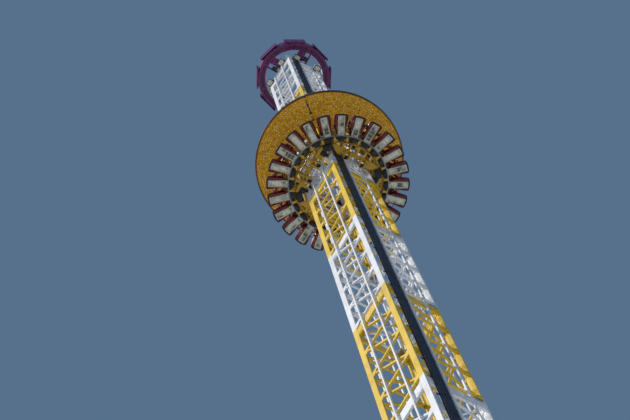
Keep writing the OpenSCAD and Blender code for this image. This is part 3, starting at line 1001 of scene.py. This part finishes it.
def drawn_in(p, q, half_x, half_y, pull):
    """A pad's outline, p and q running from -1 to 1: its sides are drawn in between rounded corners."""
    round_off = 1 - 0.09 * (p * q) ** 6
    x = half_x * p * (1 - pull * (1 - q * q))
    y = half_y * q * (1 - pull * (1 - p * p))
    return x * round_off, y * round_off


def pillow(half_x, half_y, thick, channels=(), pull=0.05, steps=(14, 12)):
    """A crowned pad, flat below, with sewn channels across it."""
    count_x, count_y = steps
    top, bottom = [], []
    for p, q in product(np.linspace(-1, 1, count_x + 1), np.linspace(-1, 1, count_y + 1)):
        crown = ((1 - p**6) * (1 - q**6)) ** 0.42
        groove = sum(math.exp(-(((p - c) * half_x / 1.6) ** 2)) for c in channels)
        x, y = drawn_in(p, q, half_x, half_y, pull)
        top.append((x, y, thick * (0.22 + 0.78 * crown * (1 - 0.3 * groove))))
        bottom.append((x, y, 0))
    width, size = count_y + 1, len(top)
    faces = []
    for i, j in product(range(count_x), range(count_y)):
        a = i * width + j
        faces.append([a, a + width, a + width + 1, a + 1])
        faces.append([size + n for n in (a + 1, a + width + 1, a + width, a)])
    rim = [i * width for i in range(count_x)] + [count_x * width + j for j in range(count_y)]
    rim += [i * width + count_y for i in range(count_x, 0, -1)] + list(range(count_y, 0, -1))
    for a, b in zip(rim, rim[1:] + rim[:1]):
        faces.append([a, size + a, size + b, b])
    return np.array(top + bottom), faces


def piping(half_x, half_y, height, pull=0.05):
    """The bead round a pillow's foot."""
    path = []
    for side, t in product(range(4), np.arange(6) / 3 - 1):
        p, q = ((1, t), (-t, 1), (-1, -t), (t, -1))[side]
        path.append((*drawn_in(p, q, half_x, half_y, pull), height))
    return closed_tube(path, 0.9, 6)


SOFT_NODES = ("seat_pans", "seat_backs")


@piece("gondola", "seat_red", "cushion_red", repeats=SEAT_PLACES, sharp=60, instead_of=SOFT_NODES)
def seat_cushions(build):
    """A seat pad, a back pad and a head pad for each seat: foot, lean, half sizes, thickness, channels."""
    pads = (
        ((50, 8.6), 0, (34, 21.5, 10.5), (-0.35, 0.3)),
        ((8.4, 51), 84, (29, 17.5, 8), (-0.4, 0.1, 0.6)),
        ((7.2, 97), 92, (11.5, 15.5, 10), ()),
    )
    for (u, w), lean, (half_x, half_y, thick), channels in pads:
        form = joined(pillow(half_x, half_y, thick, channels), piping(half_x, half_y, 1.3))
        build.add(form, place(u, 0, w, tilt=lean))


SHELL_T = 2.2
SHELL_ACROSS = 11
# Point on the sitter's side, direction towards the sitter, half width, height of the folded sides
SHELL_STATIONS = (
    ((88.5, 5.5), (0.55, 0.85), 27.5, 3),
    ((84, 7.4), (0.15, 1), 28.5, 6),
    ((66, 7.6), (0, 1), 28.2, 12),
    ((44, 7.6), (0.06, 1), 27, 20),
    ((24, 8.6), (0.3, 0.95), 25.4, 26),
    ((12, 15), (0.8, 0.6), 24.2, 28),
    ((7.2, 30), (1, 0.15), 23.6, 23),
    ((5.6, 52), (1, 0.04), 23.2, 16),
    ((5, 74), (1, 0), 23.2, 15),
    ((5.2, 90), (1, 0), 23.2, 19),
    ((6, 102), (0.98, -0.2), 22, 15),
    ((8, 110), (0.9, -0.43), 18, 8),
)


@piece("gondola", "seat_red", repeats=SEAT_PLACES, rounds=1, instead_of=("seat_bolsters",))
def seat_shells(build):
    """Moulded buckets: one thin sheet from the front lip to the top of the head, its sides folded up."""
    rings = []
    for (u, w), normal, half, wing in SHELL_STATIONS:
        normal = np.array(normal) / np.hypot(*normal)
        inner, outer = [], []
        for s in np.linspace(-1, 1, SHELL_ACROSS):
            fold = max(0.0, (abs(s) - 0.5) / 0.5) ** 1.8
            lean = math.copysign(min(1.0, fold * 1.6), s) if wing > 4 else 0.0
            point = np.array((u, w)) + normal * wing * fold
            back = point - normal * SHELL_T * (1 - 0.6 * abs(lean))
            inner.append((point[0], s * half, point[1]))
            outer.append((back[0], s * half + lean * SHELL_T, back[1]))
        rings.append(inner + outer[::-1])
    build.add(stack(rings))


ARM_AT = 11
ARM_BEND = 18
ARM_LEAN = math.radians(10)
ARM_CENTRE = (24, 114)
ARM_RUN = 58


def arm_path(v):
    """One arm of the restraint: up from its hinge, over the shoulder and down to the chest."""
    u, w = ARM_CENTRE
    path = [(u - ARM_BEND, v, w - 3)]
    for angle in np.linspace(math.pi, ARM_LEAN, 15):
        path.append((u + ARM_BEND * math.cos(angle), v, w + ARM_BEND * math.sin(angle)))
    u, v, w = path[-1]
    for share in (0.35, 0.7, 1):
        run = ARM_RUN * share
        path.append((u + run * math.sin(ARM_LEAN), v, w - run * math.cos(ARM_LEAN)))
    return path


CHEST_U, _, CHEST_W = arm_path(0)[-1]


@piece("gondola", "restraint_black", "bar_black", repeats=SEAT_PLACES)
def restraint_bars(build):
    """The steel bar of each restraint, one loop from hinge to hinge."""
    bend = [(1.2, -8.5, -5), (1.6, 0, -6.5), (1.2, 8.5, -5)]
    loop = [(CHEST_U + u, v, CHEST_W + w) for u, v, w in bend]
    build.add(sweep(arm_path(-ARM_AT) + loop + arm_path(ARM_AT)[::-1], 1.9, 8))
    build.grid(rod((0, -4.5, 0), (0, 4.5, 0), 3.2), (6,), (-ARM_AT, ARM_AT), 111)


def grip(side):
    """The bent handle on one sleeve, which follows the arm's lean."""
    path = []
    bends = ((0, 0, 26), (3, 0.6, 27), (6.5, 1, 24), (7.5, 1, 18), (6.5, 1, 12), (3, 0.6, 9), (0, 0, 10))
    for out, across, up in bends:
        u = CHEST_U + 2.8 - up * math.tan(ARM_LEAN) + out
        path.append((u, side * (14.5 + across), CHEST_W + up))
    return sweep(path, 1.4, 8)


FOAM_NODES = ("restraint_arms", "restraint_pads")


@piece("gondola", "restraint_black", repeats=SEAT_PLACES, instead_of=FOAM_NODES)
def restraint_foam(build):
    """Foam sleeves over the shoulders, joined by a pad before the chest, with a grip on each side."""
    for side in SIDES:
        build.add(grip(side))
        path = arm_path(side * ARM_AT)[4:]
        widths = [3.2, 4.5, 4.9] + [5.1] * (len(path) - 5) + [4.9, 3.8]
        build.add(sweep(path, widths, 16))
    chest = place(CHEST_U - 4.2, 0, CHEST_W + 6.5, tilt=90 - math.degrees(ARM_LEAN))
    build.add(pillow(13, 15.5, 8.5, (0.0,), 0.04, (8, 10)), chest)


@piece("gondola", "restraint_black", "bar_black", repeats=SEAT_PLACES)
def seat_frames(build):
    """Tubes behind each seat, from the ring up to the restraint's hinge, with rungs and straps."""
    foot = RING_TOP - SEAT_Z
    path = [(-4, 0, foot), (-4, 0, 40), (-4, 0, 70), (-3.4, 0, 84), (0, 0, 96), (6, 0, 111)]
    across = (-ARM_AT, ARM_AT)
    build.grid(sweep(path, 2.2), (0,), across, 0)
    build.grid(slab(rounded(4, 4.5, 1), 0, 1.6, 0.3), (-5,), across, foot)
    for w in (38, 70):
        build.grid(block((-2.5, -2.5, -4), (4.8, 2.5, 4)), (0,), across, w)
    for w in (30, 56, 82):
        build.add(rod((-3.8, -ARM_AT, w), (-3.8, ARM_AT, w), 1.5, 8))


@piece("gondola", "seat_red", "link_red", repeats=turns(SEATS, GAP_PHASE, SEAT_IN, SEAT_Z))
def seat_links(build):
    """Bars from seat to seat: one half way along their sides and one near their inner ends."""
    for u, w, half in ((46, 15, 10), (10, 20, 6.5)):
        build.add(rod((u, -half, w), (u, half, w), 1.7, 10))


@piece("gondola", "seat_white", repeats=SEAT_PLACES)
def plate_rims(build):
    """Turned-down rims, ribs and screws under the seats' plates."""
    length, half = PLATE_LENGTH, PLATE_W / 2
    build.add(block((length - 2, -half, -1.4), (length, half, 3), 0.3))
    build.grid(block((0, -0.9, -1.4), (length, 0.9, 3), 0.3), (0,), (0.9 - half, half - 0.9), 0)
    build.grid(block((-0.8, -11, 0.4), (0.8, 11, 2.6), 0.3), (22, 38, 54, 70), (0,), 0)
    build.grid(BOLT_DOWN, (4.5,), (-9, 9), 0)


@piece("gondola", "seat_white", "plate_worn", repeats=SEAT_PLACES)
def plate_pans(build):
    """Sheets in the plates' recesses, darkened in mottled patches as painted shade of the recesses, with a
    slot at their inner ends.
    """
    build.add(slab(rounded(33, 9.6, 2), 1.3, 3, 0.3), place(42.5))
    build.add(slab(rounded(5, 3.2, 1.5), 0.9, 2, 0.3), place(16))


@piece("gondola", "restraint_black", "roller_black", repeats=SEAT_PLACES)
def seat_bumpers(build):
    """A dark bumper along each seat's front lip."""
    bow = 0.006
    path = [(88.5 - bow * v * v, v, 3.4 + bow * v * v) for v in range(-25, 26, 5)]
    build.add(sweep(path, [1.4] + [2.4] * 9 + [1.4], 8))


@piece("gondola", "paint_charcoal", "steel_grey")
def ring_flange(build):
    """The ring's pale bottom flange, the bolts through it and its outer sheet."""
    bolt_turn = SEAT_PHASE + 180 / RING_BOLTS
    build.add(hoop(SEAT_IN - 4.6, SEAT_IN + 0.4, -1.6, 0.4), RING_FOOT)
    build.add(hoop(SEAT_IN - 1.6, SEAT_IN + 1, 1, RING_TOP - SEAT_Z), RING_FOOT)
    build.spread(SMALL_BOLT_DOWN, turns(RING_BOLTS, bolt_turn, SEAT_IN - 2, SEAT_Z - 1.6))


LATCH_PLACES = turns(SEATS, SEAT_PHASE, LATCH_AT, SEAT_Z)


@piece("gondola", "roller_black", repeats=LATCH_PLACES, instead_of=("latch_boxes",))
def latch_gear(build):
    """The boxes of the seats' locking gear under the ring, each with its cylinder."""
    build.add(slab(rounded(9, 12.5, 2.5), -17, 0.5, 1.4))
    build.add(slab(rounded(6, 8, 2), -20, -16, 1))
    build.add(rod((6, -16, -6), (6, 16, -6), 2.8, 12, 0.8))
    build.grid(SMALL_BOLT_DOWN, (-6, 6), (-10, 10), -16.6)


@piece("gondola", "paint_gold", repeats=turns(SEATS, GAP_PHASE, z=SEAT_Z))
def ring_webs(build):
    """Gold webs under the ring between the locking boxes, with their flanges."""
    start, end = BEAM_IN + 0.4, LATCH_AT + 8
    build.add(block((start, -1.8, -12), (end + 2, 1.8, 0.4), 0.4))
    build.add(block((start, -5, -13), (end, 5, -11.4), 0.4))


# The canopy

CANOPY_FOOT = place(z=CANOPY_Z)
CANOPY_GAPS = turns(SEATS, GAP_PHASE, z=CANOPY_Z)
BULB_STEP = 11.5
BULB_RING_STEP = 11.2
BULB_RINGS = 14
BULB_CLEARANCE = 11


@piece("gondola", "canopy_gold", "bulb")
def canopy_bulbs(build):
    """Rings of small bulbs under the canopy, left out round the posts."""
    bulb = lathe([(0.01, -3.7), (1.3, -3.3), (2.4, -2.1), (2.8, -0.6), (2.8, 0.4)], 8)
    posts = circle(POST_AT, CANOPY_Z, POSTS, POST_PHASE * POSTS / 360)
    for k in range(BULB_RINGS):
        radius = CANOPY_IN + 12 + BULB_RING_STEP * k
        count = round(2 * math.pi * radius / BULB_STEP / SEATS) * SEATS
        for spot in circle(radius, CANOPY_Z, count, 0.5 + SEAT_PHASE * count / 360):
            if np.linalg.norm(posts - spot, axis=1).min() >= BULB_CLEARANCE:
                build.add(bulb, place(*spot))


@piece("gondola", "canopy_rim_red", "paint_charcoal", repeats=CANOPY_GAPS[SPLIT_GAP :: SEATS // 2])
def canopy_split(build):
    """The dark joints between the canopy's two halves, with the clamps that hold them together."""
    clamps_at = np.arange(CANOPY_IN + 14, CANOPY_R - 10, 36)
    build.add(block((CANOPY_IN + 1, -1.8, -1.4), (CANOPY_R - 1, 1.8, 0.3), 0.3))
    build.grid(block((0, -5, -2.6), (9, 5, 0.3), 0.6), clamps_at, (0,), 0)
    build.grid(SMALL_BOLT_DOWN, clamps_at + 4.5, (-3.2, 3.2), -2.6)


@piece("gondola", "canopy_gold")
def canopy_seams(build):
    """Cover strips over the sheets' joints under the canopy, and a bent edge at its opening."""
    strip = block((CANOPY_IN + 5, -1.3, -1), (CANOPY_R - 1, 1.3, 0.3), 0.3)
    build.spread(strip, [gap for k, gap in enumerate(CANOPY_GAPS) if k % (SEATS // 2) != SPLIT_GAP])
    for radius in (CANOPY_IN + 6.5, CANOPY_IN + 90.5):
        build.add(hoop(radius, radius + 3, -1.2, 0.3), CANOPY_FOOT)
    build.add(hoop(CANOPY_IN - 0.6, CANOPY_IN + 2, -7, 7.5), CANOPY_FOOT)


@piece("gondola", "paint_yellow")
def canopy_flanges(build):
    """Sheet joints, rib flanges and bolts on the canopy's upper side."""
    foot_flange = block((CANOPY_IN + 6, 3.4, 0), (CANOPY_R - 10, 9, 1.2), 0.3)
    top_flange = block((CANOPY_IN + 4, -5.5, 12), (CANOPY_R - 8, 5.5, 13.2), 0.3)
    strip = block((CANOPY_IN + 6, -3, 0), (CANOPY_R - 6, 3, 0.9), 0.3)
    for post in turns(POSTS, POST_PHASE, z=CANOPY_TOP):
        build.add(top_flange, post)
        for side in SIDES:
            build.add(foot_flange, post, hand(y=side))
        build.grid(BOLT, np.arange(CANOPY_IN + 14, CANOPY_R - 12, 22), (-6.4, 6.4), 1.2, post)
    build.spread(strip, turns(POSTS, POST_PHASE + 180 / POSTS, z=CANOPY_TOP))
    for radius in (CANOPY_IN + 2.2, CANOPY_R - 14):
        build.add(hoop(radius, radius + 6, 0, 1.6), place(z=CANOPY_TOP))


@piece("gondola", "paint_yellow", repeats=turns(POSTS, POST_PHASE, POST_AT))
def post_fittings(build):
    """Foot plates, head plates and collars on the canopy's posts."""
    plate = slab(rounded(6.5, 9.5, 2), 0, 2, 0.4)
    socket = lathe([(6, 2), (6, 3), (4.6, 7), (4.2, 7)], 16)
    collar = lathe([(4.2, 0), (5.4, 1), (5.4, 13), (4.2, 14)], 16)
    for z, facing in ((RING_TOP, IDENTITY), (CANOPY_Z, FACE_DOWN)):
        end = place(z=z) @ facing
        build.add(plate, end)
        build.add(socket, end)
        build.grid(BOLT, (0,), (-7.4, 7.4), 2, end)
    build.add(collar, place(z=UPPER_Z - 11))


@piece("gondola", "canopy_rim_red")
def rim_trim(build):
    """Beads along the canopy's rim, and the joints of its sheets."""
    low, high = heights("canopy_rim")
    for z in (low + 1.4, high - 1.4):
        build.add(bead(CANOPY_R + 3.4, z, 1.2, 8, 180))
    joint = block((CANOPY_R + 3.6, -3, low + 2), (CANOPY_R + 4.9, 3, high - 2), 0.3)
    build.spread(joint, turns(SEATS, GAP_PHASE))


# The studio

LENS = 81.1
SENSOR = 36
CAMERA_DISTANCE = 1.8748
CAMERA_HEIGHT = 0.16
CAMERA_BEARING = 51.43
CAMERA_AIM = 47.52
CAMERA_TILT = 70.98
CAMERA_ROLL = -18.99
SUN_AT = (0, 0, 8)
SUN_WAY = (1, -0.3, -0.75)
SUN_STRENGTH = 3.1
SUN_COLOUR = (1, 0.94, 0.86)
SUN_WIDTH = math.radians(6)
SKY_COLOUR = (0.19, 0.33, 0.53, 1)
SKY_STRENGTH = 0.5
FLOOR_R = 60
FLOOR_SIDES = 96


def add_camera():
    """The camera at the photo's place: distance and bearing from the mast, then aim, tilt and roll."""
    data = bpy.data.cameras.new("camera")
    data.lens = LENS
    data.sensor_width = SENSOR
    data.clip_start = 0.01
    data.clip_end = 100
    camera = add_object("camera", data)
    stand = place(turn=-CAMERA_BEARING) @ place(0, -CAMERA_DISTANCE, CAMERA_HEIGHT)
    aimed = stand @ place(turn=CAMERA_BEARING - CAMERA_AIM, roll=90 + CAMERA_TILT)
    camera.matrix_world = Matrix(aimed @ place(turn=CAMERA_ROLL))
    bpy.context.scene.camera = camera


def add_key_light():
    data = bpy.data.lights.new("key", "SUN")
    data.energy = SUN_STRENGTH
    data.color = SUN_COLOUR
    data.angle = SUN_WIDTH
    light = add_object("key", data)
    light.rotation_euler = Vector(SUN_WAY).to_track_quat("-Z", "Y").to_euler()
    light.location = SUN_AT


def add_surround():
    """An even, sky-coloured light from all sides."""
    world = bpy.data.worlds.new("surround")
    world.use_nodes = True
    background = world.node_tree.nodes["Background"]
    background.inputs["Color"].default_value = SKY_COLOUR
    background.inputs["Strength"].default_value = SKY_STRENGTH
    bpy.context.scene.world = world
    bpy.context.scene.view_settings.view_transform = "Standard"


def add_floor():
    mesh = bpy.data.meshes.new("floor")
    mesh.from_pydata(circle(FLOOR_R, 0, FLOOR_SIDES), [], [range(FLOOR_SIDES)])
    mesh.materials.append(pale_floor("floor"))
    floor = add_object("floor", mesh)


def add_pieces():
    """Makes every marked piece, and returns the objects by name."""
    made = {}
    for fill, name, slots, settings in PIECES:
        build = Build()
        fill(build)
        made[name] = build.make(name, *slots, **settings)
    return made


add_looks()
dress_frame()
pieces = add_pieces()
add_camera()
add_surround()
add_key_light()
add_floor()
